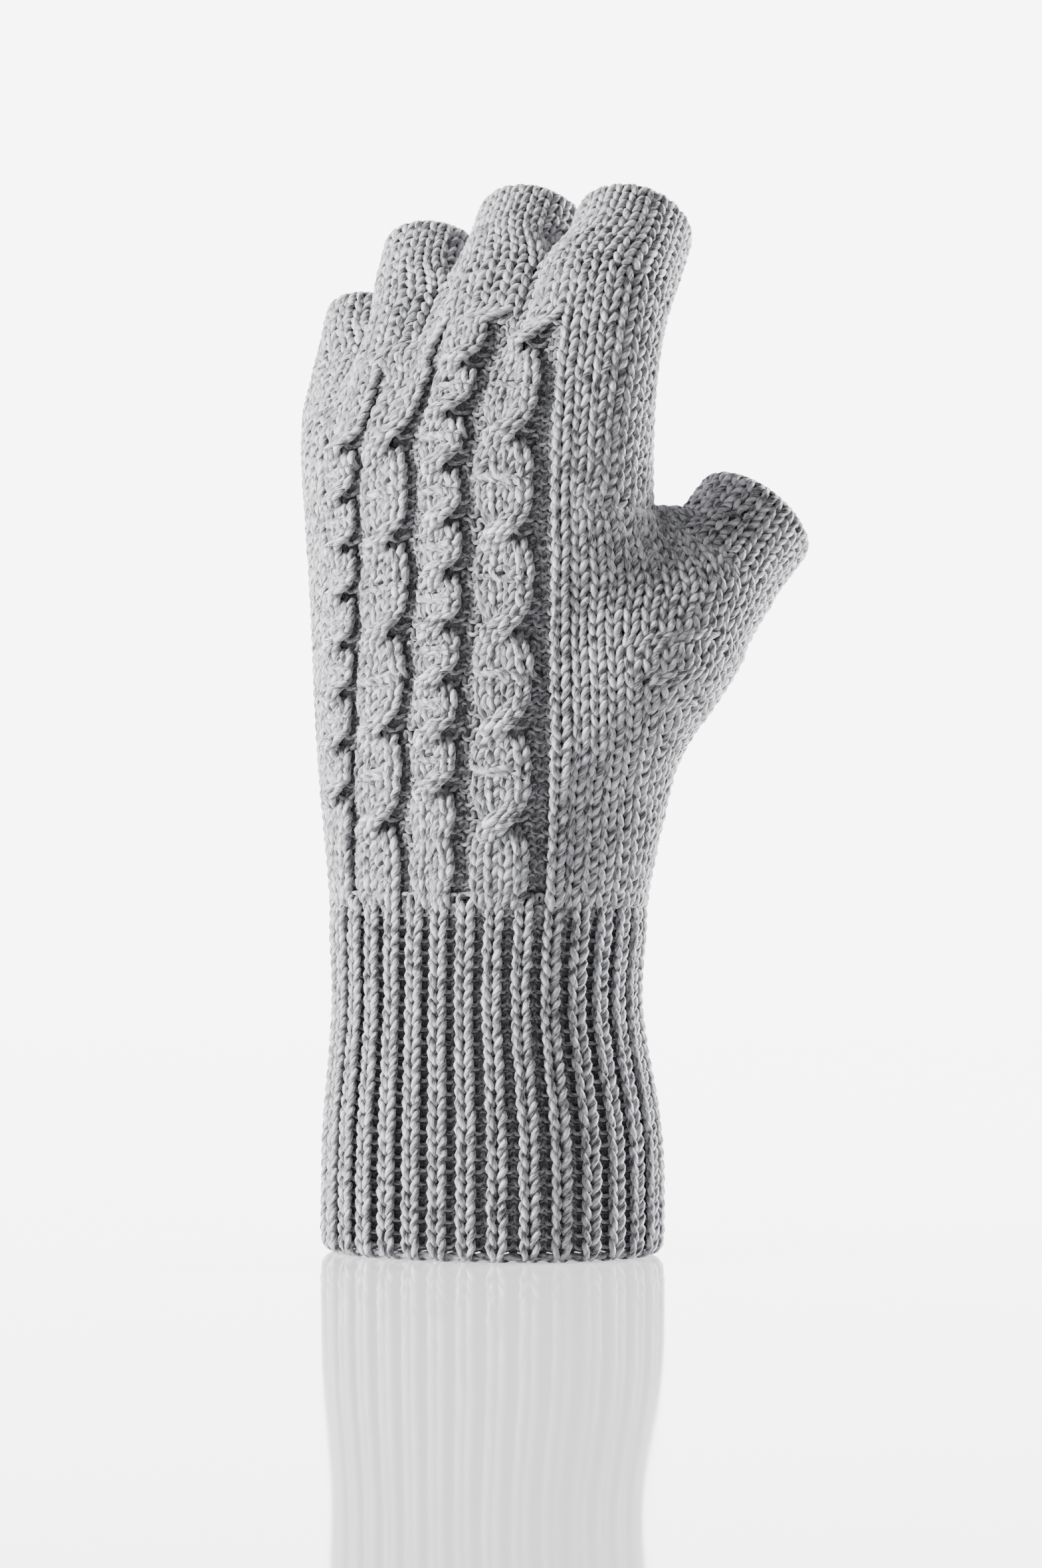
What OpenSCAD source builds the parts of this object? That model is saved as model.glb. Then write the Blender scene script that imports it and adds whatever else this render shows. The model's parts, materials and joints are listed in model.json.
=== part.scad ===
// Fingerless glove for a left hand, knitted in the round: ribbed cuff, cabled back, five open digits.
// Z is up from the cuff hem, the back of the hand faces -Y and the thumb side is +X. Millimetres.

/* [Cuff] */
// Width of the cuff at its hem, across the palm
hem_w = 64; // [61:1:68]
// Depth of the cuff at its hem, palm to back
hem_d = 53; // [50:1:56]
// Width of the narrowest part of the cuff
wrist_w = 58; // [55:1:62]
// Depth of the narrowest part of the cuff
wrist_d = 47; // [45:1:50]
// Height of the ribbed cuff with its stretch band
cuff_h = 64; // [62:1:68]
// Height of the cast-on hem
hem_h = 4; // [3:0.5:6]
// Height of the stretch band where the wrist bends
band_h = 16; // [15:1:18]

/* [Hand] */
// Width across the palm below the fingers
palm_w = 76; // [72:1:80]
// Depth of the hand below the fingers
palm_d = 34.6; // [32:0.2:38]
// Height above the hem where the finger bases start to part
palm_top = 150; // [147:1:152]
// Thickness of the knitted wall
knit_t = 2.5; // [2:0.1:3]

/* [Digits] */
// Height of the stretch band at the foot of each finger
finger_band_h = 9; // [8.5:0.5:10]
// Height of the stretch band at the foot of the thumb
thumb_band_h = 8; // [7.5:0.5:8.5]
// Height of the cast-off edge that ends each digit
edge_h = 2; // [1.5:0.5:2.5]
// Distance the cast-off edge stands out past the digit's tube
edge_proud = 0.4; // [0.2:0.1:0.6]

/* [Cables] */
// Width of the two broad cables
broad_cable_w = 10.5; // [9:0.5:11]
// Width of the two narrow cables
narrow_cable_w = 8; // [7:0.5:9]
// Distance the cables stand out from the back of the hand
cable_proud = 1.8; // [1:0.2:2.4]

/* [Hidden] */

rib_colour = [0.60, 0.60, 0.61];
plain_colour = [0.66, 0.66, 0.67];
cable_colour = [0.72, 0.72, 0.73];
edge_colour = [0.56, 0.56, 0.57];

slab = 0.4;                // thickness of the slices that are hulled together
gap = 0.02;                // distance between faces of neighbouring pieces
roundness = 2.2;           // exponent of the oval sections, 2 being an ellipse
oval_sides = 48;
wrist_z = 47;              // height of the narrowest section
heel_z = 106;              // height of the section through the heel of the thumb
cable_steps = 9;
face_turn = 0.6;           // share of a cable's angle by which its section is turned
back_lean = 0.35;          // lean of the back above the palm's top, per unit of height
finger_room = 0.3;         // clear space round a finger's foot

// Sections: [height, value] pairs read by lookup() for the oval's centre and half axes
centre_x = [[0, -0.3], [wrist_z, -1.2], [cuff_h, -0.8], [heel_z, -1.2], [130, -1.8], [palm_top, -3]];
centre_y = [[0, 0], [wrist_z, -0.5], [cuff_h, -0.5], [heel_z, -2], [130, -2.3], [palm_top, -1.5]];
half_w = [
    [0, hem_w / 2], [20, hem_w / 2 - 0.5], [wrist_z, wrist_w / 2], [cuff_h, wrist_w / 2 + 1.5],
    [82, palm_w / 2 - 5], [heel_z, palm_w / 2 - 3], [130, palm_w / 2 - 1], [palm_top, palm_w / 2]
];
half_d = [
    [0, hem_d / 2], [20, hem_d / 2 - 0.5], [wrist_z, wrist_d / 2], [cuff_h, wrist_d / 2 + 0.5],
    [82, palm_d / 2 + 6.2], [heel_z, palm_d / 2 + 3.7], [130, palm_d / 2 + 1.5], [palm_top, palm_d / 2]
];

// Digits: centre of the foot, direction, outer radius, length from foot to opening
INDEX = [[22.8, 5.2, 172], [-0.19, 0.64, 0.75], 11, 20];
MIDDLE = [[-0.1, 5.2, 173.1], [-0.17, 0.62, 0.76], 10.8, 20];
RING = [[-21.3, 4.6, 167.4], [-0.16, 0.52, 0.83], 10, 20];
LITTLE = [[-39.4, 9.8, 159.1], [-0.14, 0.48, 0.86], 9, 16];
THUMB = [[36.1, 17.8, 122.6], [0.2, 0.65, 0.73], 11.7, 16];
FINGERS = [INDEX, MIDDLE, RING, LITTLE];

// Cables, from the thumb side: angle round the back, width, height of the top end
CABLES = [
    [32, broad_cable_w, 158],
    [9, narrow_cable_w, 160],
    [-13, broad_cable_w, 156],
    [-32, narrow_cable_w, 150]
];

function power(value, exponent) = sign(value) * pow(abs(value), exponent);
function oval(a, b) = [
    for (i = [0:oval_sides - 1])
        let (turn = i * 360 / oval_sides)
            [a * power(cos(turn), 2 / roundness), b * power(sin(turn), 2 / roundness)]
];
// Point on the back of the hand at an angle from the middle line, at a height
function back_point(angle, z) = [
    lookup(z, centre_x) + lookup(z, half_w) * power(sin(angle), 2 / roundness),
    lookup(z, centre_y) - lookup(z, half_d) * power(cos(angle), 2 / roundness),
    z
];

// Thin horizontal slice of the glove at height z, its outline moved in by inset
module slice(z, inset) {
    translate([lookup(z, centre_x), lookup(z, centre_y), z])
        linear_extrude(slab)
            polygon(oval(lookup(z, half_w) - inset, lookup(z, half_d) - inset));
}

// Solid column of the glove between two heights, in equal steps
module column(z0, z1, steps, inset) {
    rise = (z1 - z0) / steps;
    for (i = [0:steps - 1])
        hull() {
            slice(z0 + i * rise, inset);
            slice(z0 + (i + 1) * rise, inset);
        }
}

// Hollow length of the glove between two heights
module sleeve(z0, z1, steps) {
    difference() {
        column(z0, z1 - slab - gap, steps, 0);
        column(z0 - 1, z1 + 1, steps, knit_t);
    }
}

// Puts its children at a digit's foot, with Z along the digit
module on_digit(digit) {
    along = digit[1] / norm(digit[1]);
    translate(digit[0])
        rotate([0, acos(along[2]), atan2(along[1], along[0])])
            children();
}

// Body of the hand up to the palm's top; inset 0 is its outside, knit_t its inside
module palm_form(inset) {
    column(cuff_h - (inset > 0 ? 1 : 0), palm_top - (inset > 0 ? 0 : slab + gap), 6, inset);
}

// Parting of the hand into the feet of the four fingers
module knuckle_form(inset) {
    for (digit = FINGERS)
        hull() {
            slice(palm_top - (inset > 0 ? 1 : 0), inset);
            on_digit(digit)
                translate([0, 0, -slab])
                    cylinder(h = slab + (inset > 0 ? 1 : 0), r = digit[2] - inset, $fn = 32);
        }
}

// Swelling at the root of the thumb, from the wrist to the thumb's foot
module gusset_form(inset) {
    hull() {
        on_digit(THUMB)
            translate([0, 0, -slab])
                cylinder(h = slab + (inset > 0 ? 1 : 0), r = THUMB[2] - inset, $fn = 32);
        translate([24, 2, 80])
            cylinder(h = slab, r = 6 - inset, $fn = 32);
        translate([27, 5, 100])
            cylinder(h = slab, r = 9 - inset, $fn = 32);
        translate([27, 5, 128])
            cylinder(h = slab, r = 8 - inset, $fn = 32);
    }
}

module cuff_hem() {
    color(rib_colour)
        translate([lookup(0, centre_x), lookup(0, centre_y), 0])
            linear_extrude(hem_h)
                difference() {
                    polygon(oval(hem_w / 2, hem_d / 2));
                    polygon(oval(hem_w / 2 - knit_t, hem_d / 2 - knit_t));
                }
}

module rib_cuff() {
    color(rib_colour)
        sleeve(hem_h, cuff_h - band_h, 5);
}

module wrist_band() {
    color(rib_colour)
        sleeve(cuff_h - band_h, cuff_h, 4);
}

module hand_shell() {
    color(plain_colour)
        difference() {
            palm_form(0);
            palm_form(knit_t);
            gusset_form(knit_t);
        }
}

module knuckle_shell() {
    color(plain_colour)
        difference() {
            knuckle_form(0);
            knuckle_form(knit_t);
            for (digit = FINGERS)
                on_digit(digit)
                    translate([0, 0, gap])
                        cylinder(h = digit[3], r = digit[2] + finger_room, $fn = 32);
        }
}

module thumb_gusset() {
    color(plain_colour)
        difference() {
            gusset_form(0);
            gusset_form(knit_t);
            palm_form(0);
        }
}

// Oval slice of a cable at height z; above the palm's top the back leans towards the fingers
module cable_slice(spec, z) {
    over = max(0, z - palm_top);
    translate(back_point(spec[0], min(z, palm_top)) + [0, over * back_lean, over])
        rotate(spec[0] * face_turn)
            scale([spec[1] / 2, cable_proud, 1])
                cylinder(h = slab, r = 1, $fn = 24);
}

// Raised rope of stitches up the back of the hand, half sunk in the fabric it is worked with
module cable(spec) {
    rise = (spec[2] - cuff_h) / cable_steps;
    color(cable_colour)
        for (i = [0:cable_steps - 1])
            hull() {
                cable_slice(spec, cuff_h + i * rise);
                cable_slice(spec, cuff_h + (i + 1) * rise);
            }
}

// Length of a digit's round tube, from one distance above its foot to another
module digit_tube(digit, from, to, outer_r, bore_r) {
    on_digit(digit)
        translate([0, 0, from])
            difference() {
                cylinder(h = to - from, r = outer_r, $fn = 64);
                translate([0, 0, -1])
                    cylinder(h = to - from + 2, r = bore_r, $fn = 64);
            }
}

module stretch_band(digit, height) {
    color(plain_colour)
        digit_tube(digit, gap, height, digit[2], digit[2] - knit_t);
}

module tube(digit, band) {
    color(plain_colour)
        digit_tube(digit, band, digit[3] - edge_h, digit[2] - edge_proud, digit[2] - knit_t);
}

module edge(digit) {
    color(edge_colour)
        digit_tube(digit, digit[3] - edge_h, digit[3], digit[2], digit[2] - knit_t + edge_proud);
}

cuff_hem();
rib_cuff();
wrist_band();
hand_shell();
knuckle_shell();
thumb_gusset();
cable(CABLES[0]);  // cable_1
cable(CABLES[1]);  // cable_2
cable(CABLES[2]);  // cable_3
cable(CABLES[3]);  // cable_4
stretch_band(INDEX, finger_band_h);  // index_band
stretch_band(MIDDLE, finger_band_h);  // middle_band
stretch_band(RING, finger_band_h);  // ring_band
stretch_band(LITTLE, finger_band_h);  // little_band
stretch_band(THUMB, thumb_band_h);  // thumb_band
tube(INDEX, finger_band_h);  // index_tube
tube(MIDDLE, finger_band_h);  // middle_tube
tube(RING, finger_band_h);  // ring_tube
tube(LITTLE, finger_band_h);  // little_tube
tube(THUMB, thumb_band_h);  // thumb_tube
edge(INDEX);  // index_edge
edge(MIDDLE);  // middle_edge
edge(RING);  // ring_edge
edge(LITTLE);  // little_edge
edge(THUMB);  // thumb_edge
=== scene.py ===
import json
import math

import bpy
import numpy as np
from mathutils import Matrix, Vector


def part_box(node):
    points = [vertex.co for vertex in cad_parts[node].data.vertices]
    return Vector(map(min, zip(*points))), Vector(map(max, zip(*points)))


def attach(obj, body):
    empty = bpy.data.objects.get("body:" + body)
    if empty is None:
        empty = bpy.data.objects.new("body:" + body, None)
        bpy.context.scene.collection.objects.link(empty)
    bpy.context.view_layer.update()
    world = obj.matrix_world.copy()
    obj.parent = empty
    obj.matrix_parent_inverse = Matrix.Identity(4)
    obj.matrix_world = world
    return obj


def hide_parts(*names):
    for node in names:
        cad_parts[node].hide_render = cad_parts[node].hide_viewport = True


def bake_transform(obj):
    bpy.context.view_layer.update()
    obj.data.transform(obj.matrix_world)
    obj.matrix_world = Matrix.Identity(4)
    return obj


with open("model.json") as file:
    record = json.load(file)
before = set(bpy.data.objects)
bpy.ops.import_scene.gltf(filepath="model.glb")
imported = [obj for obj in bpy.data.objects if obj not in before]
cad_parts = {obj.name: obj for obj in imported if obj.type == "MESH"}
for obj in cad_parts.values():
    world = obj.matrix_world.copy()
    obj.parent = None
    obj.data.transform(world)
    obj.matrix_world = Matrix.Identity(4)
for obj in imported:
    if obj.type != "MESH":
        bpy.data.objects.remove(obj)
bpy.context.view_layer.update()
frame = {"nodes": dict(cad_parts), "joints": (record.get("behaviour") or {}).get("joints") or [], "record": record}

# A knitted fingerless glove, built stitch by stitch: every course is one yarn that runs along a smooth
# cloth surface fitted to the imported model. Lengths are in millimetres until a mesh is made.

MM = 0.001
RNG = np.random.default_rng(7)

# Gauge and yarn
ROW = 2.3  # height of one course
YARN = 0.56  # radius of the yarn
RIB_YARN = 0.92  # thickness that the yarn shows in the rib and in the edges
SUNK_YARN = 0.84  # thickness that the yarn shows in sunk wales
YARN_SWELL = 0.20  # how much thinner the yarn is in the head of a loop than between two loops
INSET = 1.2  # the cloth's middle lies this far inside the model's outer face
LOOP_RISE = 0.92  # half height of a loop, in courses
LOOP_FLARE = 0.235  # how far a loop's head opens, in stitches
LOOP_DEPTH = 0.50  # distance of the legs in front of the cloth's middle
RIB_DEPTH = 0.42  # the same in the rib
COURSE_MIDDLE = 0.15  # place of the yarn's middle in its course, in courses
RIB_MIDDLE = 0.75  # the same in the rib
STEPS = 14  # points of yarn in one stitch
SIDES = 7  # sides of the yarn's section
LOOP_SHADE = 0.55  # painted shade: how much darker the wool is painted at the ends of its loops, where they lie behind their neighbours
SUNK_SHADE = 0.34  # painted shade: how much darker it is painted in the deepest wales
SHADE_SHEET_DEPTH = -0.42  # place of the dark sheet of painted shade inside the cloth, from the cloth's middle
SHADE_SHEET_THICK = 0.12
SHADE_SHEET_STEPS = 3  # points of the dark sheet of painted shade in one stitch
SHADE_SHEET_FOLLOW = 0.85  # share of the stitches' lift that the dark sheet of painted shade follows

# How much stitches differ from each other: the opening of a loop, its height, its place and its yarn
FLARE_VARIES = 0.07
RISE_VARIES = 0.03
PLACE_VARIES = 0.022
YARN_VARIES = 0.05

# Stitches round the hand: the back runs from the little side to the thumb side, then the palm runs back
BACK = 27
AROUND = 2 * BACK
HAND_COURSES = 51
PANEL = (6, 22)  # the cabled panel, in plain stitches from the little side
GUSSET = (23, 38)  # stitches that the thumb's swelling spreads
FINGER_EDGES = {"little": (0, 6), "ring": (6, 12), "middle": (12, 19), "index": (19, 27)}
CROTCH = {("index", "middle"): 6, ("middle", "ring"): 4, ("ring", "little"): 4}
FINGERS = ("index", "middle", "ring", "little")
OUTWARD = {"little": -1, "ring": 0, "middle": 0, "index": 1}  # side of a finger that has no neighbour
THUMB_STITCHES = 22
THUMB_COURSES = 8
PLAIN_WIDTH = 3.2  # width of a plain stitch in the thumb's swelling
MOST_EXTRA = 12  # wales that the swelling can gain
HIDDEN_SHARE = 0.35  # share of the usual number of courses where the thumb hides them
RIM_TUCK = 0.7  # how far the last course of a digit curls in
RIM_CURL = 1.5  # length of that curl

# Cuff
RIB_STITCHES = 32  # raised wales, with as many sunk ones
RIB_COURSES = 28
KNIT_SHARE = 0.66  # share of a rib's width that its raised wale takes
KNIT_OVERLAP = 1.03  # how much wider the raised wale is worked
RAISED = 0.70  # lift of the raised wales
SUNK = -1.50  # lift of the sunk wales
RIB_FADE = 3.2  # courses over which the rib flattens where the hand starts
RIB_FLATTENS = 0.75  # share of its relief that it loses there
HEM_TUCK = 1.5  # how far the hem curls in

# Smooth cloth between the measured sections
ROUNDNESS = 2.2  # exponent of the oval sections
STRAIGHT_TO = 20  # height up to which the cuff stays nearly as wide as its hem
SLIMMING = 0.3  # how much slimmer it is there, on each side
HAND_BOW = (0.8, -1.0)  # how far the hand's middle line bows to the thumb side and away from the palm
PALM_RISE = 86  # height of the palm's top above the cuff
KNUCKLE_LEVEL = 172.0  # height at which the wales reach the knuckle line
FINGER_LEAD = 10.0  # length of finger that draws the wales into its direction
HAND_LEVELS = 240
DIGIT_LEVELS = 60
WEB_SHARE = 0.66  # distance of a web's ends from the fingers' lines, in radii
WEB_RISE = 0.5  # height of a web's ends above the feet of its fingers
WEB_DIP = 2.0  # how far a web sinks in its middle


# ---- measures taken from the frame

def vertices(node):
    """The node's points in millimetres."""
    data = frame["nodes"][node].data
    points = np.zeros(len(data.vertices) * 3, np.float32)
    data.vertices.foreach_get("co", points)
    return points.reshape(-1, 3).astype(float) / MM


def outline(node, z):
    """Centre x, centre y, half width and half depth of a node's outer outline near a height."""
    points = vertices(node)
    near = points[np.abs(points[:, 2] - z) < 0.8]
    low, high = near.min(0)[:2], near.max(0)[:2]
    return np.concatenate([(low + high) / 2, (high - low) / 2])


def unit(vectors):
    """The same directions with length 1."""
    vectors = np.asarray(vectors, float)
    return vectors / np.linalg.norm(vectors, axis=-1, keepdims=True)


class Digit:
    """Foot, direction and sizes of a digit, from its hinge, mount, stretch band and cast-off edge."""

    def __init__(self, name):
        joint = next(j for j in frame["joints"] if j["child"] == name)
        mount = next(m for m in frame["record"]["mounts"] if m["name"] == name + "_opening")
        self.axis = unit(mount["axis"])
        hinge = np.array(joint["pos_m"]) / MM
        band = (vertices(name + "_band") - hinge) @ self.axis
        self.band = float(band.max() - band.min())
        self.foot = hinge + self.axis * float(band.min())
        away = vertices(name + "_edge") - self.foot
        along = away @ self.axis
        self.length = float(along.max())
        self.edge = float(along.max() - along.min())
        away -= np.outer(along, self.axis)
        self.radius = float(np.linalg.norm(away, axis=1).max()) - INSET
        self.across = unit(np.array([1.0, 0, 0]) - self.axis * self.axis[0])
        self.back = np.cross(self.across, self.axis)

    def ring(self, angle, radius, along):
        """Points round the digit; angle 0 faces the thumb side and a right angle faces the back."""
        angle, radius, along = (np.asarray(v, float)[..., None] for v in (angle, radius, along))
        spoke = np.cos(angle) * self.across + np.sin(angle) * self.back
        return self.foot + radius * spoke + along * self.axis


DIGITS = {name: Digit(name) for name in FINGERS + ("thumb",)}
HEM_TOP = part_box("cuff_hem")[1].z / MM
BAND_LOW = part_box("wrist_band")[0].z / MM
CUFF_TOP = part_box("hand_shell")[0].z / MM
PALM_TOP = CUFF_TOP + PALM_RISE
SIZE_HEM = outline("cuff_hem", 0)
SIZE_WRIST = outline("rib_cuff", BAND_LOW)
SIZE_CUFF_TOP = outline("hand_shell", CUFF_TOP)
SIZE_PALM_TOP = outline("hand_shell", PALM_TOP)


def ease(t):
    t = np.clip(t, 0, 1)
    return t * t * (3 - 2 * t)


def section_size(z):
    """Centre and half axes of the glove's oval section at height z, moved in to the cloth's middle."""
    z = float(z)
    if z <= CUFF_TOP:
        knots = [0, STRAIGHT_TO, BAND_LOW, CUFF_TOP]
        sizes = [SIZE_HEM, SIZE_HEM - [0, 0, SLIMMING, SLIMMING], SIZE_WRIST, SIZE_CUFF_TOP]
        size = np.array([smooth_through(knots, [s[i] for s in sizes], z) for i in range(4)])
    else:
        t = (z - CUFF_TOP) / (PALM_TOP - CUFF_TOP)
        low, high = SIZE_CUFF_TOP, SIZE_PALM_TOP
        share = np.array([t, ease(t * 1.1), t ** 0.75, 0.6 * ease(t) + 0.4 * t])
        size = low + (high - low) * share
        size[:2] += np.array(HAND_BOW) * math.sin(math.pi * min(t, 1))
    return size - [0, 0, INSET, INSET]


def smooth_through(knots, values, z):
    """Value at z of a smooth curve through the knots."""
    i = int(np.clip(np.searchsorted(knots, z) - 1, 0, len(knots) - 2))
    slopes = np.gradient(np.array(values, float), np.array(knots, float))
    width = knots[i + 1] - knots[i]
    t = np.clip((z - knots[i]) / width, 0, 1)
    h = [2 * t**3 - 3 * t**2 + 1, t**3 - 2 * t**2 + t, -2 * t**3 + 3 * t**2, t**3 - t**2]
    return h[0] * values[i] + h[1] * width * slopes[i] + h[2] * values[i + 1] + h[3] * width * slopes[i + 1]


def distances(line):
    """Distance of each point of a line along it."""
    return np.concatenate([[0], np.cumsum(np.linalg.norm(np.diff(line, axis=0), axis=1))])


def evenly(line, count, endpoint=True):
    """Points at equal distances along a line."""
    run = distances(line)
    want = np.linspace(0, run[-1], count, endpoint=endpoint)
    return np.stack([np.interp(want, run, line[:, k]) for k in range(3)], 1)


def power(value, exponent):
    return np.sign(value) * np.abs(value) ** exponent


def section(z, samples):
    """Closed oval section at height z, its samples at equal distances round the back and round the palm."""
    x, y, half_w, half_d = section_size(z)
    fine = np.linspace(-math.pi, math.pi, 2881)
    loop = np.stack([
        x + half_w * power(np.cos(fine), 2 / ROUNDNESS),
        y + half_d * power(np.sin(fine), 2 / ROUNDNESS),
        np.full(fine.shape, float(z))], 1)
    return np.concatenate([evenly(half, samples // 2, False) for half in (loop[:1441], loop[1440:])])


# ---- cloth surfaces

class Cloth:
    """A smooth surface on a grid, closed round the course: levels along the wales, samples round."""

    def __init__(self, grid, courses, stitches):
        self.grid = grid
        self.courses = courses
        self.stitches = stitches
        round_way = np.roll(grid, -1, 1) - np.roll(grid, 1, 1)
        up_way = np.gradient(grid, axis=0)
        self.normal = unit(np.cross(round_way, up_way))

    def at(self, stitch, course):
        """Points and normals at stitch and course numbers, which may be fractions."""
        levels, samples = self.grid.shape[:2]
        level = np.clip(np.asarray(course) / self.courses * (levels - 1), -2.0, levels + 1.0)
        i = np.clip(np.floor(level).astype(int), 0, levels - 2)
        f = (level - i)[:, None]
        place = np.asarray(stitch) / self.stitches * samples
        j = np.floor(place).astype(int)
        g = (place - j)[:, None]
        j0, j1 = j % samples, (j + 1) % samples
        out = []
        for field in (self.grid, self.normal):
            low = field[i, j0] * (1 - g) + field[i, j1] * g
            high = field[i + 1, j0] * (1 - g) + field[i + 1, j1] * g
            out.append(low * (1 - f) + high * f)
        return out[0], unit(out[1])


def spline(knots, points, heights):
    """Natural cubic through rings of points at the knots, sampled at the heights."""
    knots = np.asarray(knots, float)
    n = len(knots)
    gaps = np.diff(knots)
    matrix = np.eye(n)
    right = np.zeros(points.shape)
    for i in range(1, n - 1):
        matrix[i, i - 1 : i + 2] = gaps[i - 1], 2 * (gaps[i - 1] + gaps[i]), gaps[i]
        right[i] = 6 * ((points[i + 1] - points[i]) / gaps[i] - (points[i] - points[i - 1]) / gaps[i - 1])
    bend = np.tensordot(np.linalg.inv(matrix), right, axes=(1, 0))
    out = []
    for z in heights:
        i = int(np.clip(np.searchsorted(knots, z) - 1, 0, n - 2))
        a, b, gap = knots[i + 1] - z, z - knots[i], gaps[i]
        out.append(
            (bend[i] * a**3 + bend[i + 1] * b**3) / (6 * gap)
            + (points[i] / gap - bend[i] * gap / 6) * a
            + (points[i + 1] / gap - bend[i + 1] * gap / 6) * b)
    return np.array(out)


def inside_thumb(points):
    """True for points of the hand's cloth that lie in the thumb's passage."""
    along, away = thumb_place(points)
    wide = np.interp(along, ROOT[:, 0], ROOT[:, 1])
    at_foot = (along > -FOOT_ROOM) & (away < wide + WALL_ROOM)
    return at_foot | ((along > -PASSAGE) & (away < wide - PASSAGE_WALL))


def even_rows(grid):
    """The same surface with even levels along every wale, and few of them in the thumb's passage."""
    steps = np.linalg.norm(np.diff(grid, axis=0), axis=2)
    hidden = inside_thumb((grid[1:] + grid[:-1]).reshape(-1, 3) / 2).reshape(steps.shape)
    steps = steps * np.where(hidden, HIDDEN_SHARE, 1.0)
    run = np.concatenate([np.zeros((1, grid.shape[1])), np.cumsum(steps, 0)])
    out = np.zeros((HAND_LEVELS, grid.shape[1], 3))
    for j in range(grid.shape[1]):
        want = np.linspace(0, run[-1, j], HAND_LEVELS)
        for k in range(3):
            out[:, j, k] = np.interp(want, run[:, j], grid[:, j, k])
    return out


def cuff_cloth():
    samples = 256
    heights = np.linspace(0.6, CUFF_TOP, 110)
    grid = []
    for z in heights:
        ring = section(z, samples)
        middle = section_size(z)[:2]
        tuck = HEM_TUCK * max(0.0, 1 - z / HEM_TOP) ** 2
        ring[:, :2] -= unit(ring[:, :2] - middle) * tuck
        grid.append(ring)
    return Cloth(np.array(grid), RIB_COURSES, RIB_STITCHES)


def crotch_points(a, b):
    """Back and palm ends of the web between two fingers."""
    first, second = DIGITS[a], DIGITS[b]
    middle = (first.foot + second.foot) / 2
    back = unit(first.back + second.back)
    axis = unit(first.axis + second.axis)
    aside = back * (first.radius + second.radius) / 2 * WEB_SHARE
    return middle + aside + axis * WEB_RISE, middle - aside + axis * WEB_RISE


def knuckle_line():
    """The closed line where the hand ends and the fingers start, one point to each plain stitch edge."""
    def side(name, direction):
        return DIGITS[name].ring(0.0 if direction > 0 else math.pi, DIGITS[name].radius, 0.0)

    def arc(name, start, end, sign):
        digit = DIGITS[name]
        count = FINGER_EDGES[name][1] - FINGER_EDGES[name][0]
        top = digit.foot + sign * digit.back * digit.radius
        t = np.linspace(0, 1, 61)[:, None]
        peak = 2 * top - (start + end) / 2
        line = start * (1 - t) ** 2 + 2 * peak * t * (1 - t) + end * t**2
        along = (line - digit.foot) @ digit.axis
        spoke = line - digit.foot - np.outer(along, digit.axis)
        outer = spoke @ digit.across * OUTWARD[name] > 0
        reach = np.linalg.norm(spoke, axis=1)
        line += spoke * np.where(outer, digit.radius / reach - 1, 0)[:, None]
        return evenly(line, count, False)

    webs = [crotch_points(*pair) for pair in CROTCH][::-1]
    arcs = []
    for sign in (1, -1):        # over the back to the thumb side, then over the palm and back
        ends = [side("little", -1)] + [web[sign < 0] for web in webs] + [side("index", 1)]
        ends = ends[::sign]
        arcs += [arc(name, ends[i], ends[i + 1], sign) for i, name in enumerate(FINGERS[::-sign])]
    return np.concatenate(arcs)


KNUCKLES = knuckle_line()


def refine(loop, factor):
    """Closed line with more points, through the given ones."""
    n = len(loop)
    t = np.arange(n * factor) / factor
    i = np.floor(t).astype(int)
    f = (t - i)[:, None]
    p0, p1, p2, p3 = (loop[(i + k) % n] for k in (-1, 0, 1, 2))
    square = 2 * p0 - 5 * p1 + 4 * p2 - p3
    cube = 3 * p1 - p0 - 3 * p2 + p3
    return 0.5 * (2 * p1 + (p2 - p0) * f + square * f**2 + cube * f**3)


def finger_at(stitch):
    """Direction that the wale through a plain stitch takes into its finger."""
    spots, axes = [], []
    for name, (a, b) in FINGER_EDGES.items():
        spots += [(a + b) / 2, AROUND - (a + b) / 2]
        axes += [DIGITS[name].axis] * 2
    return np.stack([np.interp(stitch, spots, np.array(axes)[:, k], period=AROUND) for k in range(3)], 1)


# Root of the thumb: distance along the thumb from its foot, and of the cloth from the thumb's line
ROOT = np.array([
    [-60, -16.0], [-46, -1.0], [-38, 5.0], [-30, 9.6], [-22, 11.9], [-14, 12.3], [-6, 11.8], [0, 11.0]])
# Heel of the thumb: height, middle of its round section, and radius
HEEL = np.array([
    [62, 23.0, 1.5, 1.0], [72, 24.0, 2.0, 4.6], [81, 25.4, 3.2, 6.2], [88, 26.4, 4.0, 7.6],
    [95.5, 27.6, 5.0, 9.4], [104, 29.0, 6.0, 11.4], [108, 30.0, 7.0, 11.0], [116, 31.0, 8.0, -6.0],
    [130, 31.0, 8.0, -40.0]])
ROOT_END = 5.0  # how far past its foot the thumb still draws the hand's cloth along
FILLET = 10.0  # softness of the join between the hand and the root of the thumb
REACH = 40.0  # farthest that the root of the thumb stands out from the hand
REACH_STEP = 0.5
FOOT_ROOM = 0.4  # the hand's cloth ends this far before the thumb's foot
WALL_ROOM = 0.7  # and this far outside the thumb's own cloth
PASSAGE = 14  # length of the passage that is kept open in the root of the thumb
PASSAGE_WALL = 2.0  # distance of the passage from the root's cloth
THUMB_COVER = 1.6  # the thumb's stitches that lie this deep in the hand aren't made


def thumb_place(points):
    """Distances of points along the thumb from its foot and away from its line."""
    digit = DIGITS["thumb"]
    offset = points - digit.foot
    along = offset @ digit.axis
    away = np.linalg.norm(offset - along[..., None] * digit.axis, axis=-1)
    return along, away


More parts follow.
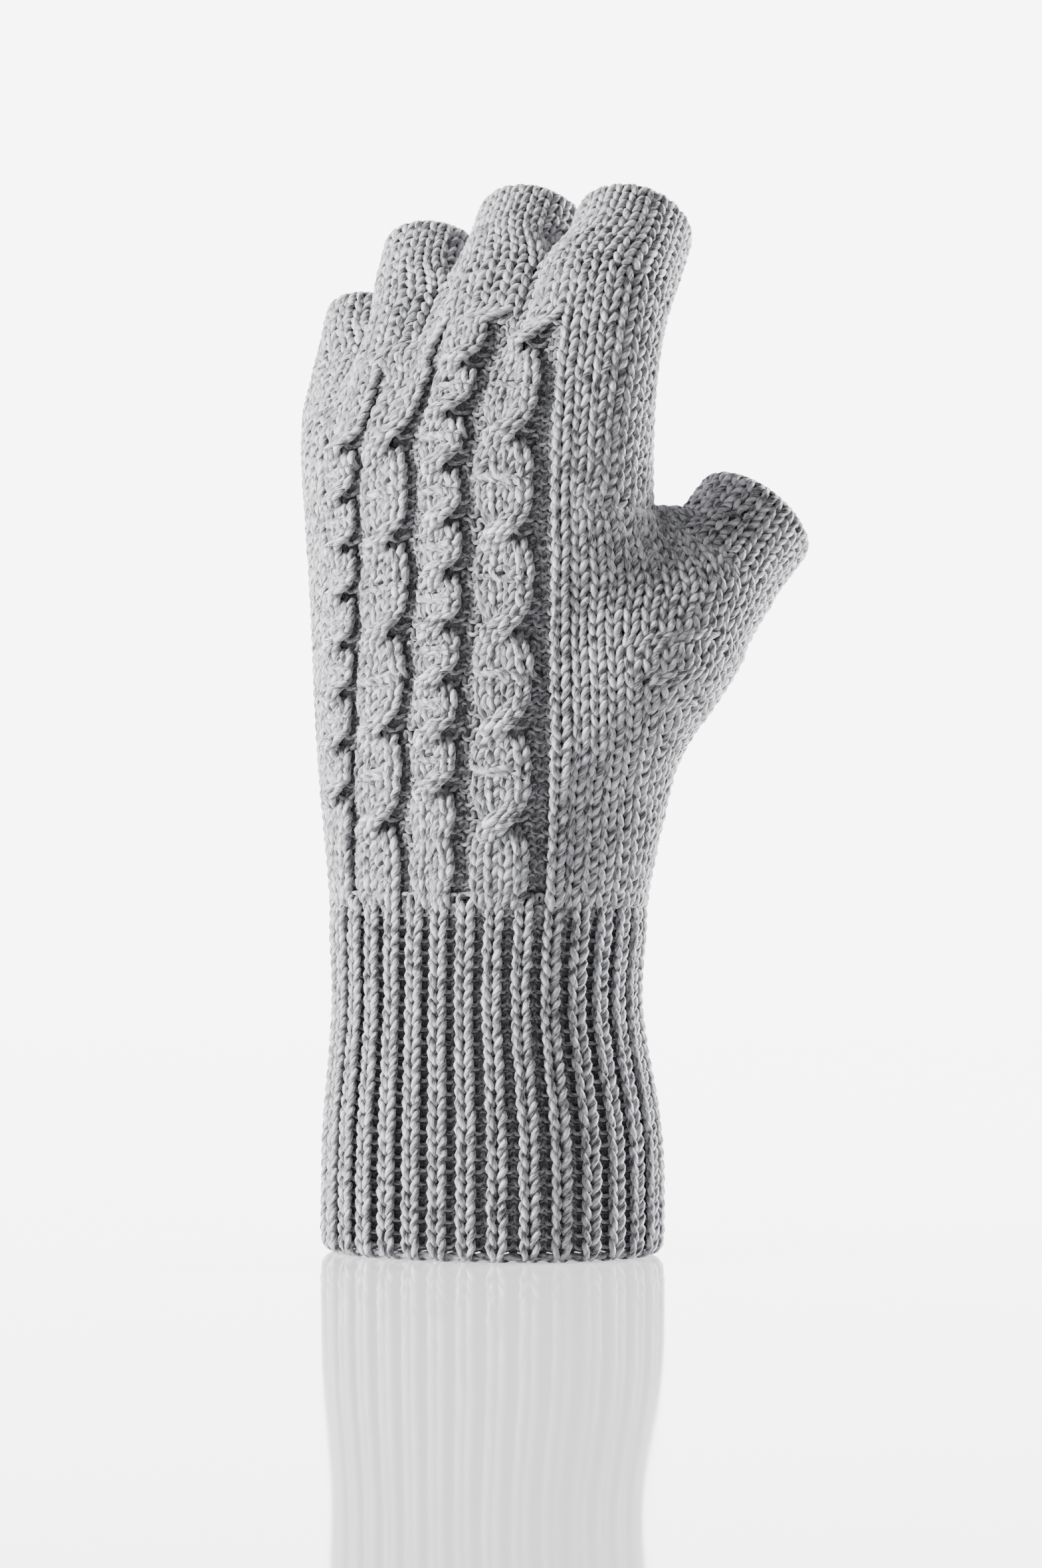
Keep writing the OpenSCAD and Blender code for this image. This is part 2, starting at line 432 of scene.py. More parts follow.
def soft_union(first, second, softness):
    """Distance to two shapes joined by a fillet."""
    mix = np.clip(0.5 + 0.5 * (first - second) / softness, 0, 1)
    return first * (1 - mix) + second * mix - softness * mix * (1 - mix)


def thumb_distance(points):
    """Distance of points from the root and the heel of the thumb, negative inside."""
    along, away = thumb_place(points)
    root = np.maximum(away - np.interp(along, ROOT[:, 0], ROOT[:, 1]), along - ROOT_END)
    x, y, radius = (np.interp(points[..., 2], HEEL[:, 0], HEEL[:, k]) for k in (1, 2, 3))
    heel = np.hypot(points[..., 0] - x, points[..., 1] - y) - radius
    return soft_union(root, heel, FILLET)


def grow_thumb(grid):
    """Pushes the cloth out over the root of the thumb, with a soft fillet all round it."""
    centre = np.array([section_size(min(z, PALM_TOP))[:2] for z in grid[:, :, 2].mean(1)])
    spoke = np.zeros(grid.shape)
    spoke[:, :, :2] = grid[:, :, :2] - centre[:, None]
    spoke = unit(spoke)
    push = np.zeros(grid.shape[:2])
    last = np.full(grid.shape[:2], 1.0)
    for out in np.arange(REACH, -0.01, -REACH_STEP):
        both = soft_union(thumb_distance(grid + spoke * out), out, FILLET)
        first = (both <= 0) & (push == 0)
        step = REACH_STEP * both / (both - last - 1e-9)
        push = np.where(first, out + np.clip(step, 0, REACH_STEP), push)
        last = both
    return grid + spoke * push[..., None]


def hand_cloth():
    per = 4
    samples = AROUND * per
    heights = [CUFF_TOP - 12, CUFF_TOP, 82, 106, 130, PALM_TOP - 3]      # levels of the measured ovals
    rings = [section(z, samples) for z in heights]
    top = refine(KNUCKLES, per)
    lead = finger_at(np.arange(samples) / per)
    knots = heights + [KNUCKLE_LEVEL, KNUCKLE_LEVEL + FINGER_LEAD]
    rings += [top, top + lead * FINGER_LEAD]
    levels = np.linspace(CUFF_TOP, KNUCKLE_LEVEL, HAND_LEVELS)
    grid = grow_thumb(spline(knots, np.array(rings), levels))
    lo, hi = GUSSET[0] * per, GUSSET[1] * per
    for row in grid:
        row[lo : hi + 1] = evenly(row[lo : hi + 1], hi + 1 - lo)
    cloth = Cloth(even_rows(grid), HAND_COURSES, AROUND)
    arcs = np.linalg.norm(np.diff(cloth.grid[:, lo : hi + 1], axis=1), axis=2).sum(1)
    cloth.extra = np.clip(arcs / PLAIN_WIDTH - (GUSSET[1] - GUSSET[0]), 0, MOST_EXTRA)
    return cloth


def finger_loop(name):
    """Closed line at the foot of a finger, a point to each stitch edge, from its back at the little side."""
    def web(pair, from_back):
        back, palm = crotch_points(*pair)
        t = np.linspace(0, 1, CROTCH[pair] + 1)[:, None]
        dip = -unit(DIGITS[pair[0]].axis + DIGITS[pair[1]].axis) * WEB_DIP
        points = back * (1 - t) + palm * t + dip * 4 * t * (1 - t)
        return (points if from_back else points[::-1])[:-1]

    a, b = FINGER_EDGES[name]
    place = FINGERS.index(name)
    parts = [KNUCKLES[a:b]]
    if place > 0:
        parts.append(web(FINGERS[place - 1 : place + 1], True))
    parts.append(KNUCKLES[AROUND - b : AROUND - a])
    if place < len(FINGERS) - 1:
        parts.append(web(FINGERS[place : place + 2], False))
    return np.concatenate(parts)


def rim_curl(along, top):
    """How far the cloth of a digit curls in at a distance along it."""
    return RIM_TUCK * np.clip((along - top + RIM_CURL) / RIM_CURL, 0, 1) ** 2


def finger_cloth(name):
    """Cloth of a finger: it leaves the knuckle line and becomes a round tube."""
    digit = DIGITS[name]
    loop = finger_loop(name)
    base = refine(loop, 8)
    offset = base - digit.foot
    along = offset @ digit.axis
    side, back = offset @ digit.across, offset @ digit.back
    radius = np.hypot(side, back)
    angle = np.unwrap(np.arctan2(back, side))
    even = angle[0] - np.arange(len(angle)) * 2 * math.pi / len(angle)
    even += np.mean(angle - even)
    levels = []
    top = digit.length - digit.edge / 2
    for t in np.linspace(0, 1, DIGIT_LEVELS):
        settle = float(ease(t * 1.7))
        rise = along + (top - along) * t
        levels.append(digit.ring(
            angle * (1 - settle) + even * settle,
            radius * (1 - settle) + digit.radius * settle - rim_curl(rise, top),
            rise))
    return Cloth(np.array(levels), round((top + 1) / ROW), len(loop))


def thumb_cloth():
    """Cloth of the thumb: a round tube that widens where it runs into the hand."""
    digit = DIGITS["thumb"]
    samples = THUMB_STITCHES * 8
    turn = math.pi - np.arange(samples) * 2 * math.pi / samples
    top = digit.length - digit.edge / 2
    grid = []
    for along in np.linspace(-1.5, top, DIGIT_LEVELS):
        wide = digit.radius + 0.6 * float(ease((5 - along) / 5)) - rim_curl(along, top)
        grid.append(digit.ring(turn, np.full(turn.shape, wide), np.full(turn.shape, along)))
    return Cloth(np.array(grid), THUMB_COURSES, THUMB_STITCHES)


# ---- the stitches of a course

def steady(value):
    """The given function of the course number, or one that stays at the given value."""
    return value if callable(value) else lambda course: value + 0.0 * course


class Stitch:
    """A stitch of a course. Its middle, lift and painted shade and highlight may depend on the course number."""

    def __init__(self, middle, width=1.0, knit=True, lift=0.0, kind="back", roll=0.0, thick=1.0, painted_shading=0.0):
        self.middle = steady(middle)
        self.width = width
        self.knit = knit
        self.lift = steady(lift)
        self.kind = kind
        self.roll = roll
        self.thick = thick
        self.painted_shading = steady(painted_shading)


def course_yarn(cloth, course, stitches, depth=LOOP_DEPTH):
    """Points, normals, radii and painted shade of one course's yarn."""
    t = -math.pi + 2 * math.pi * (np.arange(STEPS) + 0.5) / STEPS
    ends = np.array([-math.pi, math.pi])
    rows, shape, shade = [], [], []
    for s in stitches:
        flare = LOOP_FLARE * s.width * (1 + FLARE_VARIES * RNG.standard_normal())
        high = LOOP_RISE * (1 + RISE_VARIES * RNG.standard_normal())
        shove = PLACE_VARIES * s.width * RNG.standard_normal()
        side = 1.0 if s.knit else -1.0
        data = []
        for angle in (t, ends):
            y = course + high * np.cos(angle)
            x = s.middle(y) + s.width * angle / (2 * math.pi) + flare * np.sin(2 * angle) + shove
            n = s.lift(y) - side * depth * s.thick**2 * np.cos(2 * angle) + s.roll * angle / (2 * math.pi)
            data.append(np.stack([x, y, n], 1))
        rows.append(data[0])
        shape.append(data[1])
        # painted shade: darker at the loops' ends behind their neighbours and in sunk wales, plus each stitch's
        # own painted shade and highlight
        sunk = np.clip(-s.lift(np.full(STEPS, float(course))) / 2, 0, 1)
        behind = 0.5 + 0.5 * side * np.cos(2 * t)
        shade.append(LOOP_SHADE * behind + SUNK_SHADE * sunk + s.painted_shading(float(course)))
    count = len(stitches)
    pull = (np.abs(t) / math.pi) ** 3
    for i in range(count):
        for j, which, mask in ((i - 1, 0, t < 0), (i + 1, 1, t > 0)):
            other = shape[j % count][1 - which] + [j // count * cloth.stitches, 0, 0]
            gap = (other - shape[i][which]) / 2
            rows[i] = rows[i] + (pull * mask)[:, None] * gap
    path = np.concatenate(rows)
    swell = np.tile(1 - YARN_SWELL * np.cos(2 * t), count)
    swell *= np.repeat([s.thick for s in stitches] * (1 + YARN_VARIES * RNG.standard_normal(count)), STEPS)
    points, normals = cloth.at(path[:, 0], path[:, 1])
    points = points + normals * path[:, 2:3]
    return points, normals, YARN * swell, np.concatenate(shade)


# ---- meshes of yarn

def linked(name, data):
    """New object in the scene."""
    thing = bpy.data.objects.new(name, data)
    bpy.context.scene.collection.objects.link(thing)
    return thing


def outline_walls(quads, count):
    """Quads that close the edge between a skin and its copy whose points come count places later."""
    edges = np.concatenate([quads[:, [k, (k + 1) % 4]] for k in range(4)]).tolist()
    seen = set(map(tuple, edges))
    rim = np.array([e for e in edges if (e[1], e[0]) not in seen])
    return np.stack([rim[:, 1], rim[:, 0], rim[:, 0] + count, rim[:, 1] + count], 1)


def shade_sheet_mesh(name, cloth, rows, levels, hidden=None):
    """Painted shade between the loops: a thin, dark closed skin inside the cloth that follows the stitches' lift.
    """
    around = SHADE_SHEET_STEPS * cloth.stitches
    place = np.arange(around) / SHADE_SHEET_STEPS
    lifts = []
    for level in levels:
        row = rows(min(level, cloth.courses - 1.0))
        spots = np.array([float(s.middle(np.float64(level))) for s in row])
        lift = np.array([float(s.lift(np.float64(level))) for s in row])
        order = np.argsort(spots)
        lifts.append(np.interp(place, spots[order], lift[order], period=cloth.stitches))
    skins = []
    for side in (SHADE_SHEET_DEPTH, SHADE_SHEET_DEPTH - SHADE_SHEET_THICK):
        for level, lift in zip(levels, lifts):
            points, normals = cloth.at(place, np.full(around, float(level)))
            skins.append(points + normals * (lift * SHADE_SHEET_FOLLOW + side)[:, None])
    verts = np.concatenate(skins)
    count = len(levels) * around
    i, j = (k.reshape(-1) for k in np.meshgrid(np.arange(len(levels) - 1), np.arange(around), indexing="ij"))
    after = (j + 1) % around
    quads = np.stack([i * around + j, i * around + after, (i + 1) * around + after, (i + 1) * around + j], 1)
    if hidden is not None:
        gone = hidden(verts[:count])
        quads = quads[~gone[quads].all(1)]
    faces = np.concatenate([quads, quads[:, ::-1] + count, outline_walls(quads, count)])
    mesh = bpy.data.meshes.new(name)
    mesh.from_pydata((verts * MM).tolist(), [], faces.tolist())
    mesh.polygons.foreach_set("use_smooth", np.ones(len(faces), bool))
    mesh.update()
    mesh.materials.append(SHADE_SHEET)
    piece = linked(name, mesh)
    return piece


class Yarns:
    """Collects yarns and makes one mesh of them."""

    def __init__(self):
        self.verts, self.faces, self.uvs, self.caps, self.shades = [], [], [], [], []
        self.count = 0

    def add(self, points, normals, radius, shade, closed):
        """One yarn along the points. A yarn that isn't closed gets a cap at each end."""
        n = len(points)
        if closed:
            ahead, behind = np.roll(points, -1, 0), np.roll(points, 1, 0)
        else:
            ahead = np.concatenate([points[1:], points[-1:]])
            behind = np.concatenate([points[:1], points[:-1]])
        tangent = unit(ahead - behind)
        side = unit(np.cross(tangent, normals))
        top = np.cross(side, tangent)
        turn = 2 * math.pi * np.arange(SIDES) / SIDES
        ring = np.cos(turn)[None, :, None] * side[:, None] + np.sin(turn)[None, :, None] * top[:, None]
        self.verts.append((points[:, None] + ring * radius[:, None, None]).reshape(-1, 3))
        self.shades.append(np.repeat(shade, SIDES))
        rows = np.arange(n if closed else n - 1)
        after = (rows + 1) % n
        k = np.arange(SIDES)
        low, high = self.count + rows[:, None] * SIDES, self.count + after[:, None] * SIDES
        k1 = (k + 1) % SIDES
        self.faces.append(np.stack([low + k, high + k, high + k1, low + k1], -1).reshape(-1, 4))
        run = distances(points)
        start = RNG.uniform(0, 500)
        u0 = start + run[rows]
        u1 = start + np.where(after > 0, run[after], run[-1] + np.linalg.norm(points[-1] - points[0]))
        v0, v1 = k / SIDES, (k + 1) / SIDES
        u, v = np.stack([u0, u1, u1, u0], -1)[:, None], np.stack([v0, v0, v1, v1], -1)[None]
        self.uvs.append(np.stack(np.broadcast_arrays(u, v), -1).reshape(-1, 2))
        if not closed:
            self.caps += [self.count + k, self.count + (n - 1) * SIDES + k[::-1]]
        self.count += n * SIDES

    def mesh(self, name):
        """Mesh with a map of distances along and round the yarn, and with its painted shade."""
        faces = np.concatenate(self.faces)
        caps = np.array(self.caps, int).reshape(-1)
        sizes = np.concatenate([np.full(len(faces), 4), np.full(len(self.caps), SIDES)])
        loops = np.concatenate([faces.reshape(-1), caps])
        mesh = bpy.data.meshes.new(name)
        mesh.vertices.add(self.count)
        mesh.vertices.foreach_set("co", (np.concatenate(self.verts) * MM).astype(np.float32).reshape(-1))
        mesh.loops.add(len(loops))
        mesh.loops.foreach_set("vertex_index", loops.astype(np.int32))
        mesh.polygons.add(len(sizes))
        mesh.polygons.foreach_set("loop_start", (np.cumsum(sizes) - sizes).astype(np.int32))
        mesh.update(calc_edges=True)
        places = np.concatenate(self.uvs + [np.zeros((len(caps), 2))]).astype(np.float32)
        mesh.uv_layers.new(name="yarn").data.foreach_set("uv", places.reshape(-1))
        mesh.polygons.foreach_set("use_smooth", np.ones(len(sizes), bool))
        shades = mesh.attributes.new("shade", "FLOAT", "POINT")
        shades.data.foreach_set("value", np.concatenate(self.shades).astype(np.float32))
        mesh.validate()
        return mesh


# ---- materials

def shaded(name, values):
    """New material with the given values on its shader, its shader and a maker of its nodes."""
    material = bpy.data.materials.new(name)
    material.use_nodes = True
    shader = material.node_tree.nodes["Principled BSDF"]
    for socket, value in values.items():
        shader.inputs[socket].default_value = value
    return material, shader, NodeMaker(material.node_tree)


class NodeMaker:
    """Makes nodes in a tree. An input is a number, a vector or another node's output."""

    def __init__(self, tree):
        self.tree = tree

    def node(self, kind, output, inputs, **settings):
        node = self.tree.nodes.new("ShaderNode" + kind)
        for key, value in settings.items():
            setattr(node, key, value)
        for socket, value in inputs.items():
            self.put(value, node.inputs[socket])
        return node.outputs[output]

    def put(self, value, socket):
        if isinstance(value, bpy.types.NodeSocket):
            self.tree.links.new(value, socket)
        else:
            socket.default_value = value

    def maths(self, operation, *values):
        return self.node("Math", 0, dict(enumerate(values)), operation=operation)

    def ramp(self, value, low, low_colour, high, high_colour, interpolation="LINEAR"):
        ramp = self.tree.nodes.new("ShaderNodeValToRGB")
        ramp.color_ramp.interpolation = interpolation
        for element, place, colour in zip(ramp.color_ramp.elements, (low, high), (low_colour, high_colour)):
            element.position = place
            element.color = (*colour, 1)
        self.put(value, ramp.inputs["Fac"])
        return ramp.outputs["Color"]


WOOL_LIGHT = (0.46, 0.46, 0.48)
WOOL_DARK = (0.035, 0.034, 0.037)
TWIST = 0.22  # turns of the plies in a millimetre of yarn
# colours of the dark sheet of painted shade between the loops
SHADE_SHEET_DARK = (0.035, 0.033, 0.034)
SHADE_SHEET_LIGHT = (0.125, 0.122, 0.125)


def heather_wool():
    """Plies that wind round the yarn, fibre streaks along it, and lengths of lighter and darker wool, with painted
    shade in the plies' grooves and the painted shade and highlight of the yarn's shade attribute.
    """
    material, shader, make = shaded("heather_wool", {
        "Roughness": 0.92, "Specular IOR Level": 0.18,
        "Sheen Weight": 0.55, "Sheen Roughness": 0.45, "Sheen Tint": (0.95, 0.96, 1.0, 1.0)})
    maths = make.maths
    uv = make.node("UVMap", "UV", {}, uv_map="yarn")
    along = make.node("SeparateXYZ", "X", {0: uv})
    round_way = along.node.outputs["Y"]
    angle = maths("MULTIPLY", maths("ADD", round_way, maths("MULTIPLY", along, TWIST)), 2 * math.pi)
    ply = maths("COSINE", maths("MULTIPLY", angle, 2.0))
    spot = make.node("CombineXYZ", 0, {
        0: maths("MULTIPLY", maths("COSINE", angle), 1.1),
        1: maths("MULTIPLY", maths("SINE", angle), 1.1),
        2: maths("MULTIPLY", along, 0.17)})
    fibres = make.node("TexNoise", "Fac", {"Vector": spot, "Scale": 2.0, "Detail": 4.0, "Roughness": 0.62})
    lengths = make.node("TexNoise", "Fac", {"W": along, "Scale": 0.42, "Detail": 3.0}, noise_dimensions="1D")
    mixed = maths("ADD", maths("MULTIPLY", fibres, 0.85), maths("MULTIPLY", lengths, 0.50))
    # painted shade: besides the bump, the ply pattern darkens the colour a little in the grooves between the plies
    mixed = maths("ADD", mixed, maths("MULTIPLY", ply, 0.07))
    colour = make.ramp(mixed, 0.52, WOOL_DARK, 0.82, WOOL_LIGHT)
    # painted shade and highlight: the yarn's shade attribute darkens the colour, and lightens it where it is
    # negative
    shade = make.node("Attribute", "Fac", {}, attribute_name="shade")
    light = maths("SUBTRACT", 1.0, shade)
    colour = make.node("VectorMath", "Vector", {0: colour, "Scale": light}, operation="SCALE")
    make.put(colour, shader.inputs["Base Color"])
    height = maths("ADD", maths("MULTIPLY", ply, 0.35), fibres)
    bump = make.node("Bump", "Normal", {"Height": height, "Strength": 0.75, "Distance": 0.00030})
    make.put(bump, shader.inputs["Normal"])
    return material


def wool_heart():
    """Painted shade deep between the loops: a dark colour with a fine grain."""
    material, shader, make = shaded("wool_heart", {"Roughness": 1.0, "Specular IOR Level": 0.05})
    place = make.node("TexCoord", "Object", {})
    grain = make.node("TexNoise", "Fac", {"Vector": place, "Scale": 2600.0, "Detail": 2.0})
    make.put(make.ramp(grain, 0.35, SHADE_SHEET_DARK, 0.70, SHADE_SHEET_LIGHT), shader.inputs["Base Color"])
    return material


WOOL = heather_wool()
SHADE_SHEET = wool_heart()


def knit_piece(yarns, name, nodes=()):
    """Piece of wool made of the yarns, which stands for the nodes."""
    mesh = yarns.mesh(name)
    mesh.materials.append(WOOL)
    piece = linked(name, mesh)
    if nodes:
        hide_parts(*nodes)
    return piece


# ---- cuff

def rib_relief(lift):
    """Lift of a wale of the rib, which flattens where the hand starts."""
    return lambda course: lift * (1 - RIB_FLATTENS * ease((course - RIB_COURSES + RIB_FADE) / RIB_FADE))


def rib_row():
    """Raised and sunk wales by turns."""
    row = []
    for i in range(RIB_STITCHES):
        row.append(Stitch(i + KNIT_SHARE / 2, KNIT_SHARE * KNIT_OVERLAP, True, rib_relief(RAISED)))
        sunk = rib_relief(SUNK)
        row.append(Stitch(i + (1 + KNIT_SHARE) / 2, 1 - KNIT_SHARE, False, sunk, thick=SUNK_YARN))
    return row


def build_cuff():
    cloth = cuff_cloth()
    row = rib_row()
    # Piece: height of its top, the body it rides or the two it lies between, and the nodes it stands for; a piece
    # between two bodies rides neither
    middle = (HEM_TOP + BAND_LOW) / 2
    pieces = {
        "hem_knit": (HEM_TOP, ("cuff",), ("cuff_hem",)),
        "rib_low_knit": (middle, ("cuff",), ("rib_cuff",)),
        "rib_high_knit": (BAND_LOW, ("cuff",), ()),
        "wrist_knit": (CUFF_TOP, ("cuff", "hand"), ("wrist_band",))}
    yarns = {name: Yarns() for name in pieces}
    for course in range(RIB_COURSES):
        z = (course + 0.5) * CUFF_TOP / RIB_COURSES
        part = next(name for name, (top, _, _) in pieces.items() if z < top)
        points, normals, radius, shade = course_yarn(cloth, course + RIB_MIDDLE, row, RIB_DEPTH)
        yarns[part].add(points, normals, radius * RIB_YARN, shade, True)
    cord_edge(yarns["hem_knit"], cloth, 0.12, RIB_STITCHES * 2, thick=0.22, lift=-0.45)
    for name, (_, bodies, nodes) in pieces.items():
        piece = knit_piece(yarns[name], name, nodes)
        if len(bodies) == 1:
            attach(piece, *bodies)
        else:
            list(bodies)
            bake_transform(piece)
    # dark sheet of painted shade inside the rib, between its loops
    shade_sheet = shade_sheet_mesh("cuff_heart", cloth, lambda course: row, np.linspace(0.4, RIB_COURSES, RIB_COURSES * 2))
    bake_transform(shade_sheet)


def cord_edge(yarns, cloth, course, twists, thick, lift):
    """Edge of a knitted piece: two yarns that wind round each other along it, painted a little darker as shade."""
    steps = twists * 8
    # painted shade: the edge's yarn is darkened by 0.2 through the shade attribute
    width, cord_shade = np.full(steps, YARN * RIB_YARN), np.full(steps, 0.2)
    place = np.arange(steps) / steps * cloth.stitches
    points, normals = cloth.at(place, np.full(steps, float(course)))
    up = unit(np.cross(normals, np.roll(points, -1, 0) - np.roll(points, 1, 0)))
    turn = 2 * math.pi * np.arange(steps) / steps * (twists / 2)
    for phase in (0, math.pi):
        wind = thick * (np.cos(turn + phase)[:, None] * normals + np.sin(turn + phase)[:, None] * up)
        yarns.add(points + normals * lift + wind, normals, width, cord_shade, True)


# ---- hand

# Sunk wales and cables from the little side: number, lift and width of the sunk wales before the cable;
# width of the cable and height of its top; share of a repeat that a crossing takes, height of the first
# crossing and length of a repeat
FIELDS = ("name", "gutter", "sunk", "gutter_mm", "mm", "top", "cross", "first", "step")
CABLES = [dict(zip(FIELDS, row)) for row in (
    ("cable_4", 1, -1.0, 1.8, 8.0, 152, 0.75, 83.9, 9.5),
    ("cable_3", 2, -1.1, 2.8, 11.6, 160, 0.48, 77.9, 17.3),
    ("cable_2", 2, -1.2, 3.3, 9.4, 166, 0.75, 83.9, 9.5),
    ("cable_1", 2, -1.35, 3.9, 11.2, 167, 0.48, 77.9, 17.3),
    ("end", 2, -1.55, 3.7, 0.0, 167, 0, 0, 0))]
NARROWEST = 0.18  # a wale narrower than this, in plain stitches, isn't worked
CABLE_LIFT = 0.75  # height of a cable above the cloth's middle
CABLE_OVER = 1.90  # extra height of the pair that crosses over
CABLE_UNDER = 1.50  # depth of the pair that crosses under
CABLE_YARN = 1.10  # thickness that the yarn shows in a cable
CABLE_FILL = 0.45  # how much the strands spread while they cross
CABLE_OVERLAP = 1.12  # how much wider a cable's wales are worked
PAIR_ROLL = 0.9  # roundness of each pair of wales
OVER_SHADE = -0.12  # painted highlight on the pair that crosses over: a negative painted shade that lightens it
UNDER_SHADE = 0.55  # painted shade on the pair that crosses under
HOLLOW_SHADE = 0.28  # painted shade on the left wale of each pair between two crossings
WAIST = 0.28  # share of its width that a cable loses where it crosses
BACK_LENGTH = 118.0  # distance up the back of the hand from the cuff to the knuckles
BORDER_LIFT = 0.45  # lift of the wale that borders the panel
BORDER_ROLL = -0.5  # slope across that wale
BORDER_TOP = 165  # height up to which it stands out


def course_of(z):
    """Course number at height z."""
    return (z - CUFF_TOP) / BACK_LENGTH * HAND_COURSES


def repeat(cable):
    """Number of courses in a cable's repeat."""
    return cable["step"] / BACK_LENGTH * HAND_COURSES


def waist(cable, course):
    """Share of its full width that a cable keeps at a course: it is narrowest where its strands cross."""
    if not cable["step"]:
        return 1.0
    phase = (course - course_of(cable["first"])) / repeat(cable)
    over = ease((course - course_of(cable["top"]) - 1) / 2.0)
    return 1 - WAIST * (0.5 + 0.5 * math.cos(2 * math.pi * phase)) ** 2 * (1 - float(over))


def panel_row(course):
    """Edges of the panel's sunk wales and cables at a course. Above its top, a cable is four plain wales."""
    total = PANEL[1] - PANEL[0]
    whole = sum(cable["gutter_mm"] + cable["mm"] for cable in CABLES)
    gutters, bodies = [], []
    for cable in CABLES:
        past = course - course_of(cable["top"])
        spread = ease((past + 1) / 4.0)
        gutters.append(cable["gutter_mm"] / whole * total * (1 - ease(past / 2.0)))
        bodies.append(cable["mm"] / whole * total * (1 - spread) + (4.0 * spread if cable["mm"] else 0.0))
    scale = (total - sum(gutters)) / sum(bodies)
    row = [PANEL[0]]
    start = PANEL[0]
    for cable, gutter, body in zip(CABLES, gutters, bodies):
        draw = body * scale / 2 * (1 - waist(cable, course))
        row += [start + gutter + draw, start + gutter + body * scale - draw]
        start += gutter + body * scale
    return row


PANEL_COURSES = np.linspace(-2, HAND_COURSES + 2, 400)
PANEL_ROWS = np.array([panel_row(course) for course in PANEL_COURSES])


def panel_edge(index, course):
    return np.interp(course, PANEL_COURSES, PANEL_ROWS[:, index])


def crossing(cable, course):
    """Progress of the crossing that a course is in, 0 to 1."""
    first, step = course_of(cable["first"]), repeat(cable)
    last = np.floor((course_of(cable["top"]) - 0.5 - first) / step)
    number = np.clip(np.floor((course - first) / step + 0.5), 0, last)
    return ease((course - first - number * step) / (cable["cross"] * step) + 0.5)


def cable_stitches(index, course):
    """The four wales of a cable at a course; each crossing carries the left pair over the right."""
    cable = CABLES[index]

    def edges(y):
        return panel_edge(2 * index + 1, y), panel_edge(2 * index + 2, y)

    def arch(y):
        return np.sin(math.pi * crossing(cable, y))

    def fade(y):
        return 1 - ease((y - course_of(cable["top"]) + 1.5) / 3.0)

    left, right = edges(course)
    swapped = crossing(cable, course) >= 0.5
    row = []
    for slot in range(4):
        upper = slot >= 2 if swapped else slot < 2      # the pair that lies over
        pair = slot % 2

        def place(y, upper=upper, pair=pair):
            low, high = edges(y)
            start, end = (pair, pair + 2) if upper else (pair + 2, pair)
            s = crossing(cable, y)
            where = (start * (1 - s) + end * s - 1.5) / 4
            return (low + high) / 2 + where * (1 + CABLE_FILL * arch(y) ** 2) * (high - low)

        def lift(y, over=CABLE_OVER if upper else -CABLE_UNDER):
            return (CABLE_LIFT * ease((y + 1) / 3.0) + over * arch(y) ** 1.5) * fade(y)

        # painted highlight on the pair that lies over; painted shade on the pair under and, between crossings, on
        # the left wale of each pair
        def painted_shading(y, over=OVER_SHADE if upper else UNDER_SHADE, hollow=HOLLOW_SHADE * (1 - pair)):
            return over * arch(y) + hollow * (1 - arch(y))

        roll = (PAIR_ROLL if pair == 0 else -PAIR_ROLL) * float(fade(course))
        width = float(right - left) / 4 * CABLE_OVERLAP
        row.append(Stitch(place, width, True, lift, cable["name"] + "_knit", roll, CABLE_YARN, painted_shading))
    return row


def gutter_stitches(index, course):
    """The sunk wales before a cable."""
    count = CABLES[index]["gutter"]
    width = float(panel_edge(2 * index + 1, course) - panel_edge(2 * index, course)) / count
    if width < NARROWEST:
        return []
    depth = CABLES[index]["sunk"] * min(1.0, width * count / 0.8)
    row = []
    for k in range(count):

        def middle(y, share=(k + 0.5) / count):
            low, high = panel_edge(2 * index, y), panel_edge(2 * index + 1, y)
            return low + (high - low) * share

        row.append(Stitch(middle, width, False, depth, thick=SUNK_YARN))
    return row


def gusset_edges(cloth, course):
    """Edges of the wales of the thumb's swelling at a course; wales are added from its middle outwards."""
    count = GUSSET[1] - GUSSET[0]
    extra = float(np.interp(course, np.linspace(0, cloth.courses, len(cloth.extra)), cloth.extra))
    widths = []
    for i in range(count):
        widths.append(1.0)
        rank = 2 * abs(i - count // 2) - (i > count // 2)
        if rank < MOST_EXTRA:
            widths.append(float(np.clip(extra - rank, 0, 1)))
    edges = np.concatenate([[0], np.cumsum(widths)])
    return GUSSET[0] + edges / edges[-1] * count


def gusset_stitches(cloth, course):
    """The wales that spread for the thumb."""
    samples = np.arange(course - 1.5, course + 1.6, 0.5)
    tables = np.array([gusset_edges(cloth, c) for c in samples])
    here = gusset_edges(cloth, course)
    row = []
    for k in range(len(here) - 1):
        width = here[k + 1] - here[k]
        if width < NARROWEST:
            continue

        def middle(y, middles=(tables[:, k] + tables[:, k + 1]) / 2):
            return np.interp(y, samples, middles)

        kind = "back" if here[k] + here[k + 1] < 2 * BACK else "palm"
        row.append(Stitch(middle, width, kind=kind))
    return row


def hand_stitches(cloth, course):
    """All the stitches of one course of the hand, round from the little side."""
    row = [Stitch(i + 0.5) for i in range(PANEL[0])]
    for index, cable in enumerate(CABLES):
        row += gutter_stitches(index, course)
        if cable["mm"]:
            row += cable_stitches(index, course)
    border = 1 - float(ease((course - course_of(BORDER_TOP)) / 3.0))
    row.append(Stitch(PANEL[1] + 0.5, lift=BORDER_LIFT * border, roll=BORDER_ROLL * border))
    row += [Stitch(i + 0.5) for i in range(PANEL[1] + 1, GUSSET[0])]
    row += gusset_stitches(cloth, course)
    row += [Stitch(i + 0.5, kind="palm") for i in range(GUSSET[1], AROUND)]
    return row


